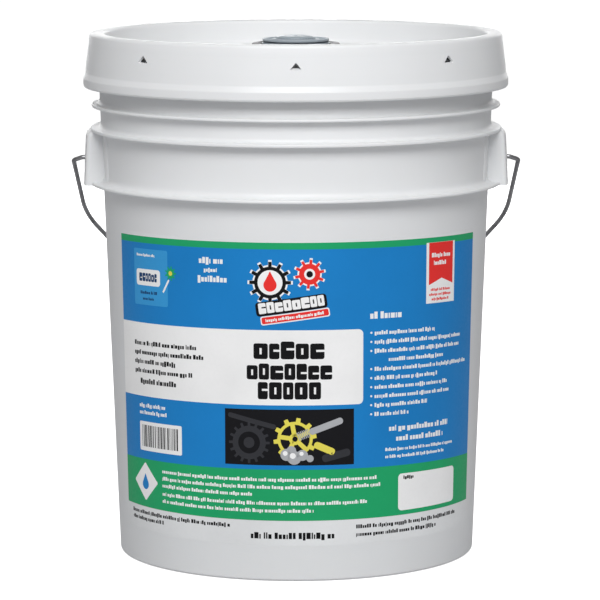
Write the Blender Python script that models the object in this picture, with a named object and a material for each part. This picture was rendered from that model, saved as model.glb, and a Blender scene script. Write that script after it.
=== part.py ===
"""A 19 litre plastic pail: lid with a pull-up pour spout, wire bail and wrap-around label.

Dimensions are in millimetres and are turned into metres where a mesh is made. +Z is up. The origin is
the centre of the foot ring, on the surface that the pail stands on. The label faces -Y, the bail
hangs against the rear wall at +Y, and its ears are at +X and -X.
"""

import math

import bmesh
import bpy
from mathutils import Matrix, Vector

MM = 0.001
GAP = 0.3

# Pail wall
BASE_R = 131.4
TAPER = 0.0390
WALL = 2.3
PAIL_TOP_Z = 378.3
FLOOR_UNDERSIDE_Z = 16.5
FLOOR_TOP_Z = 19.0
FOOT_INNER_R = 124.0
FOOT_RECESS_R = 127.6
FOOT_CORNER_R = 2.2

# Rings around the wall: bottom height, edge thickness, edge radius and the fillet above
SKIRT_FLANGE = (273.4, 2.3, 151.5, 8.0)
LOWER_RIB = (312.7, 2.6, 151.5, 4.5)
UPPER_RIB = (330.4, 2.3, 150.5, 4.0)
RIM_BEAD = (350.5, 2.6, 150.0, 2.5)

# Bail ears
EAR_BOTTOM_Z = 272.7
EAR_TOP_Z = 313.9
EAR_BOTTOM_R = 156.2
EAR_TOP_R = 155.1
EAR_EDGE_R = 5.0
EAR_HALF_WIDTH = 26.0
EAR_WALL = 2.5
POCKET_OFF_WALL = 0.6

# Bail
PIVOT_Z = 292.0
BAIL_HANG_DEG = 51.8
BAIL_DROP = 189.0
WIRE_R = 1.65
WIRE_HOLE_R = 2.0
BAIL_PIN_END_X = 157.0
BAIL_DROOP_DEG = 30.0
BAIL_SHOULDER_X = 164.8
BAIL_SHOULDER_BEND_R = 3.0
BAIL_LEAN_DEG = 4.0
BAIL_LEG = 60.0
BAIL_KNEE_R = 110.0
BAIL_TAPER_DEG = 24.0
BAIL_BOW_R = 94.0
BAIL_HEAD_X = 149.8
BAIL_HEAD_LENGTH = 1.4
BAIL_HEAD_SCALE = 1.6
GRIP_R = 9.9
GRIP_END_R = 8.6
GRIP_HALF_LENGTH = 46.5
GRIP_BORE_R = 2.05

# Lid
PANEL_TOP_Z = 367.0
PANEL_THICKNESS = 2.5
LID_TOP_Z = 384.6
CREST_OUTER_R = 151.7
CREST_R = 2.4
CHANNEL_ROOF_Z = 382.2
PLUG_TOP_R = 143.2
PLUG_BOTTOM_R = 142.8
PLUG_WALL = 2.2
COLLAR_INNER_R = 27.8
COLLAR_OUTER_R = 30.2
COLLAR_TOP_Z = 373.5
COLLAR_SEAT_R = 34.0
COLLAR_SEAT = 0.8
WINDOW_COUNT = 8
WINDOW_WIDTH = 8.0
WINDOW_HEIGHT = 5.0
WINDOW_CENTRE_Z = 369.5
WINDOW_SIDE_RISE = 2.0
GASKET_INNER_R = 144.1
GASKET_OUTER_R = 147.9

# Spout, retracted
RING_OUTER_R = 32.5
RING_INNER_R = 26.0
RING_TOP_Z = 376.3
RING_PLATE = 1.1
RING_BOTTOM_Z = 368.8
PLEATS = 3
PLEAT_DROP = 6.0
PLEAT_INSET = 3.1
PLEAT_SHOULDER = 1.2
BELLOWS_TOP_R = 25.4
BELLOWS_TOP_Z = 374.9
BELLOWS_THICKNESS = 0.9
NECK_OUTER_R = 12.0
NECK_BORE_R = 10.5
NECK_TOP_Z = 378.9
NECK_FLANGE_R = 13.2
CAP_TOP_Z = 381.5
CAP_PLATEAU_R = 11.0
CAP_SHOULDER_R = 13.6
CAP_SIDE_R = 14.0
CAP_BORE_R = 12.6
CAP_ROOF_Z = 379.9
CAP_SKIRT_Z = 370.0
CAP_DECK_R = 25.0
CAP_DECK_TOP_Z = 376.8
CAP_DECK = 1.5
LINER_R = 12.2
PULL_EAR_INNER_R = 15.2
PULL_EAR_OUTER_R = 24.5
PULL_EAR_BOTTOM_Z = 377.7
PULL_EAR_TOP_Z = 379.5
PULL_EAR_HINGE_Y = 2.0
PULL_EAR_END_DEG = 3.6
LUG_HALF_WIDTH = 0.4

# Label: a flat rectangle of film that is wrapped around the cone
LABEL_LEFT = 157.0
LABEL_RIGHT = 161.0
LABEL_LOW_Z = 26.0
LABEL_HIGH_Z = 246.0
LABEL_THICKNESS = 0.3
LABEL_STEPS = 24
LABEL_ROWS = 8

# Facets
BIG_STEPS = 64
SPOUT_STEPS = 32
SMALL_STEPS = 24


def wall_r(z):
    """Outer radius of the plain conical wall at height z."""
    return BASE_R + TAPER * z


def arc(centre_r, centre_z, radius, start_deg, end_deg, count):
    """Points along an arc in the radius-height plane, both ends included."""
    turn = math.radians(end_deg - start_deg) / (count - 1)
    first = math.radians(start_deg)
    return [
        (centre_r + radius * math.cos(first + i * turn), centre_z + radius * math.sin(first + i * turn))
        for i in range(count)
    ]


def clear_scene():
    for obj in list(bpy.data.objects):
        bpy.data.objects.remove(obj, do_unlink=True)


def make_material(name, colour, roughness, metallic=0.0):
    material = bpy.data.materials.new(name)
    material.use_nodes = True
    shader = material.node_tree.nodes["Principled BSDF"]
    shader.inputs["Base Color"].default_value = (*colour, 1.0)
    shader.inputs["Roughness"].default_value = roughness
    shader.inputs["Metallic"].default_value = metallic
    return material


def add_object(name, data, material, parent=None):
    obj = bpy.data.objects.new(name, data)
    bpy.context.scene.collection.objects.link(obj)
    if material:
        data.materials.append(material)
    obj.parent = parent
    return obj


def add_empty(name, location, parent=None, rotation=(0.0, 0.0, 0.0)):
    empty = bpy.data.objects.new(name, None)
    bpy.context.scene.collection.objects.link(empty)
    empty.location = Vector(location) * MM
    empty.rotation_euler = rotation
    empty.parent = parent
    return empty


def turned(outline, steps, start_deg=0.0, sweep_deg=360.0):
    """Mesh of an outline of (radius, height) points turned about Z, in metres.

    An outline that starts and ends on the axis stays open there. A part turn gets two end faces.
    """
    bm = bmesh.new()
    turn = Matrix.Rotation(math.radians(start_deg), 3, "Z")
    verts = [bm.verts.new(turn @ Vector((r, 0.0, z)) * MM) for r, z in outline]
    edges = [bm.edges.new(pair) for pair in zip(verts, verts[1:])]
    on_axis = outline[0][0] == 0.0 and outline[-1][0] == 0.0
    if not on_axis:
        edges.append(bm.edges.new((verts[-1], verts[0])))
    whole = sweep_deg == 360.0
    spun = bmesh.ops.spin(
        bm,
        geom=verts + edges,
        cent=(0.0, 0.0, 0.0),
        axis=(0.0, 0.0, 1.0),
        angle=math.radians(sweep_deg),
        steps=steps,
        use_merge=whole,
    )
    if not whole:
        bmesh.ops.contextual_create(bm, geom=edges)
        last = [item for item in spun["geom_last"] if isinstance(item, bmesh.types.BMEdge)]
        bmesh.ops.contextual_create(bm, geom=last)
    bmesh.ops.remove_doubles(bm, verts=bm.verts, dist=1e-7)
    bmesh.ops.recalc_face_normals(bm, faces=bm.faces)
    return bm


def to_mesh(name, bm, sharp_deg=35.0):
    mesh = bpy.data.meshes.new(name)
    bm.to_mesh(mesh)
    bm.free()
    mesh.shade_smooth()
    mesh.set_sharp_from_angle(angle=math.radians(sharp_deg))
    return mesh


def box_mesh(name, low, high):
    bm = bmesh.new()
    centre = (Vector(low) + Vector(high)) / 2 * MM
    size = (Vector(high) - Vector(low)) * MM
    matrix = Matrix.Translation(centre) @ Matrix.Diagonal((*size, 1.0))
    bmesh.ops.create_cube(bm, size=1.0, matrix=matrix)
    return to_mesh(name, bm)


def combine(target, name, mesh, operation):
    """Boolean of a helper mesh, kept out of view, with the target's own mesh."""
    helper = add_object(name, mesh, None, target.parent)
    helper.display_type = "WIRE"
    helper.hide_render = True
    modifier = target.modifiers.new(name, "BOOLEAN")
    modifier.operation = operation
    modifier.solver = "EXACT"
    modifier.object = helper


def ring_profile(ring):
    """Outer side of a ring around the wall: square underside, plain edge and concave fillet above."""
    bottom_z, thickness, edge_r, fillet = ring
    top_z = bottom_z + thickness
    centre_z = top_z + fillet
    foot_r = wall_r(centre_z)
    sweep = arc(foot_r + fillet, centre_z, fillet, 270.0, 180.0, 4)
    return [(wall_r(bottom_z), bottom_z), (edge_r, bottom_z), (edge_r, top_z), *sweep]


def pail_outline():
    foot_r = wall_r(0.0)
    outline = [
        (0.0, FLOOR_UNDERSIDE_Z),
        (FOOT_RECESS_R, FLOOR_UNDERSIDE_Z),
        (FOOT_RECESS_R, 6.0),
        (FOOT_INNER_R, 2.4),
        (FOOT_INNER_R, 0.0),
    ]
    outline += arc(foot_r - FOOT_CORNER_R, FOOT_CORNER_R, FOOT_CORNER_R, 270.0, 360.0, 4)
    for ring in (SKIRT_FLANGE, LOWER_RIB, UPPER_RIB, RIM_BEAD):
        outline += ring_profile(ring)
    outline.append((wall_r(PAIL_TOP_Z), PAIL_TOP_Z))
    outline.append((wall_r(PAIL_TOP_Z) - WALL, PAIL_TOP_Z))
    outline.append((wall_r(FLOOR_TOP_Z) - WALL, FLOOR_TOP_Z + 4.0))
    outline.append((wall_r(FLOOR_TOP_Z) - WALL - 4.0, FLOOR_TOP_Z))
    outline.append((0.0, FLOOR_TOP_Z))
    return outline


def ear_mesh(name, turn_deg):
    """A hollow ear's outside, as a solid sector that is rooted in the middle of the pail's wall."""
    half_deg = math.degrees(math.asin(EAR_HALF_WIDTH / EAR_BOTTOM_R))
    outline = [(EAR_BOTTOM_R, EAR_BOTTOM_Z)]
    outline += arc(EAR_TOP_R - EAR_EDGE_R, EAR_TOP_Z - EAR_EDGE_R, EAR_EDGE_R, 0.0, 90.0, 4)
    outline.append((wall_r(EAR_TOP_Z) - WALL / 2, EAR_TOP_Z))
    outline.append((wall_r(EAR_BOTTOM_Z) - WALL / 2, EAR_BOTTOM_Z))
    bm = turned(outline, 6, turn_deg - half_deg, 2 * half_deg)
    corners = [
        edge
        for edge in bm.edges
        if edge.calc_face_angle(0.0) > math.radians(60.0)
        and all(is_outside_ear(vert.co) for vert in edge.verts)
        and abs(edge.verts[0].co.z - edge.verts[1].co.z) > 0.5 * MM
    ]
    bmesh.ops.bevel(
        bm, geom=corners, offset=3.5 * MM, offset_type="OFFSET", segments=2, profile=0.5, affect="EDGES"
    )
    bmesh.ops.recalc_face_normals(bm, faces=bm.faces)
    return to_mesh(name, bm)


def is_outside_ear(point):
    return point.xy.length > (EAR_TOP_R - 3.0) * MM


def pocket_mesh(name, turn_deg):
    """The hollow behind an ear's face, open at the bottom."""
    half_deg = math.degrees(math.asin((EAR_HALF_WIDTH - EAR_WALL) / EAR_BOTTOM_R))
    open_z = EAR_BOTTOM_Z - 4.0
    roof_z = EAR_TOP_Z - EAR_WALL
    outline = [
        (wall_r(open_z) + POCKET_OFF_WALL, open_z),
        (EAR_BOTTOM_R - EAR_WALL, open_z),
        (EAR_TOP_R - EAR_WALL, roof_z - 3.0),
        (EAR_TOP_R - EAR_WALL - 3.0, roof_z),
        (wall_r(roof_z) + POCKET_OFF_WALL, roof_z),
    ]
    return to_mesh(name, turned(outline, 6, turn_deg - half_deg, 2 * half_deg))


def wire_hole_mesh(name, side):
    bm = bmesh.new()
    matrix = Matrix.Translation(Vector((side * EAR_BOTTOM_R, 0.0, PIVOT_Z)) * MM)
    matrix @= Matrix.Rotation(math.radians(90.0), 4, "Y")
    bmesh.ops.create_cone(
        bm,
        cap_ends=True,
        segments=16,
        radius1=WIRE_HOLE_R * MM,
        radius2=WIRE_HOLE_R * MM,
        depth=4 * EAR_WALL * MM,
        matrix=matrix,
    )
    return to_mesh(name, bm)


def build_pail(material):
    mesh = to_mesh("pail_body", turned(pail_outline(), BIG_STEPS))
    pail = add_object("pail_body", mesh, material)
    for side, label in ((1, "right"), (-1, "left")):
        turn_deg = 0.0 if side > 0 else 180.0
        combine(pail, f"ear_{label}", ear_mesh(f"ear_{label}", turn_deg), "UNION")
        combine(pail, f"pocket_{label}", pocket_mesh(f"pocket_{label}", turn_deg), "DIFFERENCE")
        combine(pail, f"wire_hole_{label}", wire_hole_mesh(f"wire_hole_{label}", side), "DIFFERENCE")


def build_label(material):
    """Film whose columns are evenly spaced along the arc, so its side edges stay upright on the cone."""
    bm = bmesh.new()
    sheets = []
    for offset in (GAP, GAP + LABEL_THICKNESS):
        sheet = []
        for i in range(LABEL_STEPS + 1):
            arc_length = -LABEL_LEFT + (LABEL_LEFT + LABEL_RIGHT) * i / LABEL_STEPS
            column = []
            for j in range(LABEL_ROWS + 1):
                z = LABEL_LOW_Z + (LABEL_HIGH_Z - LABEL_LOW_Z) * j / LABEL_ROWS
                angle = arc_length / wall_r(z)
                r = wall_r(z) + offset
                column.append(bm.verts.new(Vector((r * math.sin(angle), -r * math.cos(angle), z)) * MM))
            sheet.append(column)
        for near, far in zip(sheet, sheet[1:]):
            for j in range(LABEL_ROWS):
                bm.faces.new((near[j], far[j], far[j + 1], near[j + 1]))
        sheets.append(sheet)
    inner, outer = sheets
    for a, b in ((inner[0], outer[0]), (inner[-1], outer[-1])):
        for j in range(LABEL_ROWS):
            bm.faces.new((a[j], b[j], b[j + 1], a[j + 1]))
    for j in (0, LABEL_ROWS):
        for i in range(LABEL_STEPS):
            bm.faces.new((inner[i][j], inner[i + 1][j], outer[i + 1][j], outer[i][j]))
    bmesh.ops.recalc_face_normals(bm, faces=bm.faces)
    add_object("label", to_mesh("label", bm), material)


def bend(x, drop, radius, start_deg, end_deg, count):
    """Points of a bend in the bail's plane, from (x, drop). A direction of 0 runs straight down, 90 to -X."""
    start = math.radians(start_deg)
    points = []
    for i in range(count):
        angle = math.radians(start_deg + (end_deg - start_deg) * i / (count - 1))
        inward = radius * (math.cos(start) - math.cos(angle))
        points.append((x - inward, drop + radius * (math.sin(angle) - math.sin(start))))
    return points


def bail_half_route():
    """Points of the wire's right half as (x, drop) from the pivot, after the headed pin.

    Outside the ear the pin droops to the corner where the leg starts.
    """
    radius = BAIL_SHOULDER_BEND_R
    out_deg = BAIL_DROOP_DEG - 90.0
    droop = math.radians(BAIL_DROOP_DEG)
    lean = math.tan(math.radians(BAIL_LEAN_DEG))
    pin = bend(BAIL_PIN_END_X, 0.0, radius, -90.0, out_deg, 3)
    pin_x, pin_drop = pin[-1]
    corner_x = BAIL_SHOULDER_X - lean * (pin_drop - math.tan(droop) * pin_x)
    corner_x /= 1.0 + lean * math.tan(droop)
    corner_drop = pin_drop + math.tan(droop) * (corner_x - pin_x)
    setback = radius * math.tan(math.radians(BAIL_LEAN_DEG - out_deg) / 2)
    start_x = corner_x - setback * math.cos(droop)
    start_drop = corner_drop - setback * math.sin(droop)
    shoulder = pin + bend(start_x, start_drop, radius, out_deg, BAIL_LEAN_DEG, 5)
    leg_x = BAIL_SHOULDER_X - lean * BAIL_LEG
    knee = bend(leg_x, BAIL_LEG, BAIL_KNEE_R, BAIL_LEAN_DEG, BAIL_TAPER_DEG, 6)
    knee_x, knee_drop = knee[-1]
    taper = math.radians(BAIL_TAPER_DEG)
    bow_drop = BAIL_DROP - BAIL_BOW_R * (1.0 - math.sin(taper))
    bow_x = knee_x - (bow_drop - knee_drop) * math.tan(taper)
    return shoulder + knee + bend(bow_x, bow_drop, BAIL_BOW_R, BAIL_TAPER_DEG, 90.0, 12)


def build_bail(wire_material, grip_material):
    pivot = add_empty("bail_pivot", (0.0, 0.0, PIVOT_Z), rotation=(math.radians(BAIL_HANG_DEG), 0.0, 0.0))
    head_end = BAIL_HEAD_X + BAIL_HEAD_LENGTH
    half = [(BAIL_HEAD_X, 0.0, BAIL_HEAD_SCALE), (head_end, 0.0, BAIL_HEAD_SCALE), (head_end + 0.3, 0.0, 1.0)]
    half += [(x, drop, 1.0) for x, drop in bail_half_route()]
    route = half + [(-x, drop, scale) for x, drop, scale in reversed(half)]
    curve = bpy.data.curves.new("bail_wire", "CURVE")
    curve.dimensions = "3D"
    curve.bevel_depth = WIRE_R * MM
    curve.bevel_resolution = 3
    curve.use_fill_caps = True
    spline = curve.splines.new("POLY")
    spline.points.add(len(route) - 1)
    for point, (x, drop, scale) in zip(spline.points, route):
        point.co = (x * MM, 0.0, -drop * MM, 1.0)
        point.radius = scale
    add_object("bail_wire", curve, wire_material, pivot)

    side = [(GRIP_BORE_R, -GRIP_HALF_LENGTH), (GRIP_END_R - 1.0, -GRIP_HALF_LENGTH)]
    side += [(GRIP_END_R, -GRIP_HALF_LENGTH + 1.0), (GRIP_R, -GRIP_HALF_LENGTH + 8.0)]
    outline = side + [(r, -z) for r, z in reversed(side)]
    grip = add_object("bail_grip", to_mesh("bail_grip", turned(outline, SMALL_STEPS)), grip_material, pivot)
    grip.location = (0.0, 0.0, -BAIL_DROP * MM)
    grip.rotation_euler = (0.0, math.radians(90.0), 0.0)


def lid_outline():
    panel_under_z = PANEL_TOP_Z - PANEL_THICKNESS
    outer = [
        (153.6, 345.0),
        (155.6, 345.0),
        (156.4, 346.4),
        (156.4, 351.6),
        (154.8, 355.8),
        (154.1, 363.0),
        (152.5, 376.0),
        (CREST_OUTER_R, LID_TOP_Z - CREST_R),
    ]
    crest_z = LID_TOP_Z - CREST_R
    plug_inner_r = PLUG_BOTTOM_R - PLUG_WALL
    crest = arc(CREST_OUTER_R - CREST_R, crest_z, CREST_R, 0.0, 90.0, 4)[1:]
    crest += arc(plug_inner_r + 0.4 + CREST_R, crest_z, CREST_R, 90.0, 180.0, 4)
    recess = [
        (plug_inner_r, PANEL_TOP_Z + 2.0),
        (plug_inner_r - 2.0, PANEL_TOP_Z),
        (COLLAR_SEAT_R, PANEL_TOP_Z),
        (COLLAR_SEAT_R - COLLAR_SEAT, PANEL_TOP_Z + COLLAR_SEAT),
        (COLLAR_OUTER_R, PANEL_TOP_Z + COLLAR_SEAT),
        (COLLAR_OUTER_R, COLLAR_TOP_Z),
        (COLLAR_INNER_R, COLLAR_TOP_Z),
        (COLLAR_INNER_R, panel_under_z),
    ]
    channel = [
        (PLUG_BOTTOM_R, panel_under_z),
        (PLUG_TOP_R, CHANNEL_ROOF_Z),
        (149.2, CHANNEL_ROOF_Z),
        (150.1, 376.0),
        (151.7, 363.0),
        (152.4, 355.8),
        (153.6, 351.6),
    ]
    return outer + crest + recess + channel


def windows_mesh(name):
    """Eight triangular prisms, point up, that cut the windows in the lid's skirt. The front one is lower."""
    bm = bmesh.new()
    half = WINDOW_WIDTH / 2
    for i in range(WINDOW_COUNT):
        low_z = WINDOW_CENTRE_Z - WINDOW_HEIGHT / 2 + (WINDOW_SIDE_RISE if i else 0.0)
        corners = [(-half, low_z), (half, low_z), (0.0, low_z + WINDOW_HEIGHT)]
        turn = Matrix.Rotation(2 * math.pi * i / WINDOW_COUNT, 3, "Z")
        inner = [bm.verts.new(turn @ Vector((x, -148.5, z)) * MM) for x, z in corners]
        outer = [bm.verts.new(turn @ Vector((x, -157.0, z)) * MM) for x, z in corners]
        bm.faces.new(inner)
        bm.faces.new(outer[::-1])
        for j in range(3):
            k = (j + 1) % 3
            bm.faces.new((inner[j], outer[j], outer[k], inner[k]))
    bmesh.ops.recalc_face_normals(bm, faces=bm.faces)
    return to_mesh(name, bm)


def build_lid(material, gasket_material, parent):
    lid = add_object("lid", to_mesh("lid", turned(lid_outline(), BIG_STEPS)), material, parent)
    combine(lid, "lid_windows", windows_mesh("lid_windows"), "DIFFERENCE")
    low_z = PAIL_TOP_Z + GAP
    high_z = CHANNEL_ROOF_Z - GAP
    gasket = [
        (GASKET_INNER_R, low_z),
        (GASKET_OUTER_R, low_z),
        (GASKET_OUTER_R, high_z),
        (GASKET_INNER_R, high_z),
    ]
    add_object("lid_gasket", to_mesh("lid_gasket", turned(gasket, BIG_STEPS)), gasket_material, parent)


def build_crimp_ring(material, parent):
    lip_r = COLLAR_OUTER_R + 2 * GAP
    plate_z = RING_TOP_Z - RING_PLATE
    outline = [
        (lip_r, RING_BOTTOM_Z),
        (RING_OUTER_R - 0.6, RING_BOTTOM_Z),
        (RING_OUTER_R, RING_BOTTOM_Z + 0.6),
        (RING_OUTER_R, RING_TOP_Z - 0.8),
        (RING_OUTER_R - 0.8, RING_TOP_Z),
        (RING_INNER_R, RING_TOP_Z),
        (RING_INNER_R, plate_z),
        (RING_OUTER_R - 1.0, plate_z),
        (RING_OUTER_R - 1.0, RING_BOTTOM_Z + 0.9),
        (lip_r, RING_BOTTOM_Z + 0.9),
    ]
    mesh = to_mesh("spout_crimp_ring", turned(outline, SPOUT_STEPS))
    add_object("spout_crimp_ring", mesh, material, parent)


def bellows_outline():
    """Flange under the crimp ring, then a pleated funnel down to the neck."""
    top_side = [(BELLOWS_TOP_R, BELLOWS_TOP_Z - BELLOWS_THICKNESS)]
    for _ in range(PLEATS):
        r, z = top_side[-1]
        top_side.append((r - 0.3, z - PLEAT_DROP + PLEAT_SHOULDER))
        top_side.append((r - 0.3 - PLEAT_INSET, z - PLEAT_DROP))
    shift = BELLOWS_THICKNESS
    under_side = [(r + shift, z - shift) for r, z in top_side[:-1]]
    end_r, end_z = top_side[-1]
    flange = [(RING_OUTER_R - 1.5, BELLOWS_TOP_Z - 1.1), (RING_OUTER_R - 1.5, BELLOWS_TOP_Z)]
    start = [(under_side[0][0], BELLOWS_TOP_Z - 1.1)]
    lip = [(BELLOWS_TOP_R, BELLOWS_TOP_Z)]
    end = [(end_r, end_z - shift)]
    return start + flange + lip + top_side[1:] + end + under_side[:0:-1]


def neck_base_z():
    return BELLOWS_TOP_Z - BELLOWS_THICKNESS - PLEATS * PLEAT_DROP - BELLOWS_THICKNESS


def build_neck(material, parent):
    base_z = neck_base_z()
    outline = [
        (NECK_BORE_R, base_z),
        (NECK_FLANGE_R, base_z),
        (NECK_FLANGE_R, base_z + 1.6),
        (NECK_OUTER_R, base_z + 2.8),
        (NECK_OUTER_R, NECK_TOP_Z - 0.6),
        (NECK_OUTER_R - 0.5, NECK_TOP_Z),
        (NECK_BORE_R, NECK_TOP_Z),
    ]
    add_object("spout_neck", to_mesh("spout_neck", turned(outline, SPOUT_STEPS)), material, parent)


def build_seal(material, parent):
    """Membrane across the mouth with a pull ring standing on a short stem."""
    disc_r = NECK_BORE_R - GAP
    disc = [(0.0, 370.6), (disc_r, 370.6), (disc_r, 373.0), (disc_r - 0.8, 373.0)]
    disc += [(disc_r - 0.8, 371.4), (0.0, 371.4)]
    seal = add_object("tear_out_seal", to_mesh("tear_out_seal", turned(disc, SMALL_STEPS)), material, parent)
    stem = [(0.0, 371.0), (1.4, 371.0), (1.4, 375.0), (0.0, 375.0)]
    stem_bm = turned(stem, 12)
    bmesh.ops.translate(stem_bm, verts=stem_bm.verts, vec=(6.0 * MM, 0.0, 0.0))
    combine(seal, "seal_stem", to_mesh("seal_stem", stem_bm), "UNION")
    ring = [(4.9, 374.4), (7.4, 374.4), (7.4, 376.2), (4.9, 376.2)]
    combine(seal, "seal_ring", to_mesh("seal_ring", turned(ring, SMALL_STEPS)), "UNION")


def build_cap(material, parent):
    outline = [
        (0.0, CAP_TOP_Z),
        (CAP_PLATEAU_R, CAP_TOP_Z),
        (CAP_SHOULDER_R, CAP_TOP_Z - 1.0),
        (CAP_SIDE_R, CAP_DECK_TOP_Z),
        (CAP_DECK_R, CAP_DECK_TOP_Z),
        (CAP_DECK_R, CAP_DECK_TOP_Z - CAP_DECK),
        (CAP_SIDE_R + 0.3, CAP_DECK_TOP_Z - CAP_DECK),
        (CAP_SIDE_R + 0.3, CAP_SKIRT_Z),
        (CAP_BORE_R, CAP_SKIRT_Z),
        (CAP_BORE_R, CAP_ROOF_Z),
        (0.0, CAP_ROOF_Z),
    ]
    cap = add_object("spout_cap", to_mesh("spout_cap", turned(outline, SPOUT_STEPS)), material, parent)
    low_z = CAP_DECK_TOP_Z - CAP_DECK / 2
    high_z = PULL_EAR_TOP_Z
    for side, label in ((1, "right"), (-1, "left")):
        near_x = side * (CAP_SIDE_R - 0.4)
        far_x = side * (CAP_DECK_R - 1.0)
        low = (min(near_x, far_x), -LUG_HALF_WIDTH, low_z)
        high = (max(near_x, far_x), LUG_HALF_WIDTH, high_z)
        combine(cap, f"hinge_lug_{label}", box_mesh(f"hinge_lug_{label}", low, high), "UNION")


def build_liner(material, parent):
    low_z = NECK_TOP_Z + GAP
    high_z = CAP_ROOF_Z - GAP
    outline = [(0.0, low_z), (LINER_R, low_z), (LINER_R, high_z), (0.0, high_z)]
    add_object("cap_liner", to_mesh("cap_liner", turned(outline, SPOUT_STEPS)), material, parent)


def build_pull_ear(name, side, material, parent):
    """A half ring around the cap, hinged about X beside the cap's lugs. side is -1 at the front."""
    middle_z = (PULL_EAR_BOTTOM_Z + PULL_EAR_TOP_Z) / 2
    hinge_y = side * PULL_EAR_HINGE_Y
    outline = [
        (PULL_EAR_INNER_R, PULL_EAR_BOTTOM_Z),
        (PULL_EAR_OUTER_R, PULL_EAR_BOTTOM_Z),
        (PULL_EAR_OUTER_R, PULL_EAR_TOP_Z),
        (PULL_EAR_INNER_R, PULL_EAR_TOP_Z),
    ]
    start_deg = (-180.0 if side < 0 else 0.0) + PULL_EAR_END_DEG
    bm = turned(outline, SPOUT_STEPS // 2, start_deg, 180.0 - 2 * PULL_EAR_END_DEG)
    bmesh.ops.translate(bm, verts=bm.verts, vec=Vector((0.0, -hinge_y, -middle_z)) * MM)
    ear = add_object(name, to_mesh(name, bm), material, parent)
    ear.location = Vector((0.0, hinge_y, middle_z)) * MM


def main():
    clear_scene()
    white = make_material("pail_white", (0.78, 0.79, 0.80), 0.38)
    lid_white = make_material("lid_white", (0.80, 0.81, 0.82), 0.34)
    print_blue = make_material("label_blue", (0.013, 0.21, 0.54), 0.45)
    steel = make_material("wire_steel", (0.35, 0.36, 0.37), 0.35, 1.0)
    ring_steel = make_material("ring_steel", (0.55, 0.60, 0.63), 0.30, 1.0)
    foam = make_material("gasket_grey", (0.25, 0.25, 0.26), 0.8)
    natural = make_material("spout_natural", (0.62, 0.66, 0.70), 0.45)
    cap_grey = make_material("cap_grey", (0.42, 0.47, 0.51), 0.45)

    build_pail(white)
    build_label(print_blue)
    build_bail(steel, white)
    lid_empty = add_empty("lid_lift", (0.0, 0.0, 0.0))
    build_lid(lid_white, foam, lid_empty)
    build_crimp_ring(ring_steel, lid_empty)
    bellows = to_mesh("spout_bellows", turned(bellows_outline(), SPOUT_STEPS))
    add_object("spout_bellows", bellows, natural, lid_empty)
    spout = add_empty("spout_pull", (0.0, 0.0, 0.0), lid_empty)
    build_neck(natural, spout)
    build_seal(natural, spout)
    screw = add_empty("cap_screw", (0.0, 0.0, 0.0), spout)
    build_liner(foam, screw)
    build_cap(cap_grey, screw)
    build_pull_ear("pull_ear_front", -1, cap_grey, screw)
    build_pull_ear("pull_ear_rear", 1, cap_grey, screw)


main()
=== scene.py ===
"""The look of a 19 litre shipping pail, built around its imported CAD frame.

Lengths in this script are in millimetres and become metres where a mesh is made. +Z is up, the label
faces -Y, the bail hangs against the rear wall at +Y, and its ears are at +X and -X. Print on the label
is laid out flat, as (arc length from the front, height), and is wrapped on the cone afterwards.
"""

import math
import random

import bmesh
import bpy
from mathutils import Matrix, Vector

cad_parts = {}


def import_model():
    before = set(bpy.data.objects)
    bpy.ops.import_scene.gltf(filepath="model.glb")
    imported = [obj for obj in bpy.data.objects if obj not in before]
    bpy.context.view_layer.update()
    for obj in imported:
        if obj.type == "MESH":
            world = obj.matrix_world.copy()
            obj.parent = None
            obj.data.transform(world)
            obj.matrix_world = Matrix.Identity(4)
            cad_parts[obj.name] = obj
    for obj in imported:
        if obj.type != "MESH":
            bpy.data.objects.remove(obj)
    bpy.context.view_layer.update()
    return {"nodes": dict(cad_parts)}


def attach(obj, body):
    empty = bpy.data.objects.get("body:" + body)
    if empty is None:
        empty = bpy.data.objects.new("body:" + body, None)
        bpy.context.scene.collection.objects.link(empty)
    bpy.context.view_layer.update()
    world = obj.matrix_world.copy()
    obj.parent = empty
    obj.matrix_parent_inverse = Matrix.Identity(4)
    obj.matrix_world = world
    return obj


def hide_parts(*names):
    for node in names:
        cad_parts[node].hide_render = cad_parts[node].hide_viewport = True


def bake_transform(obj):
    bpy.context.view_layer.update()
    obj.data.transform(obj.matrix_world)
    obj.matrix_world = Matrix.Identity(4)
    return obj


MM = 0.001
GAP = 0.3
SHARP_DEG = 38.0

# Pail
BASE_R = 131.4
TAPER = 0.0390
WALL = 2.3
PAIL_TOP_Z = 378.3
FLOOR_UNDERSIDE_Z = 16.5
FLOOR_TOP_Z = 19.0
FOOT_INNER_R = 124.0
FOOT_RECESS_R = 127.6
FOOT_CORNER_R = 2.2
PAIL_STEPS = 256
# Bottom height, edge thickness, edge radius and the fillet above
RINGS = (
    (273.4, 2.3, 151.5, 8.0),
    (312.7, 2.6, 151.5, 2.8),
    (330.4, 2.3, 150.5, 3.0),
    (350.5, 2.6, 150.0, 2.5),
)

# Bail ears
EAR_BOTTOM_Z = 273.2
EAR_TOP_Z = 313.9
EAR_BOTTOM_R = 156.7
EAR_TOP_R = 154.7
EAR_EDGE_R = 5.0
EAR_HALF_WIDTH = 26.0
EAR_WALL = 2.5
EAR_FOLD_DEG = 15.4
EAR_FOLD_R = 5.0
EAR_FOLD_RISE = 1.2

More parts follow.
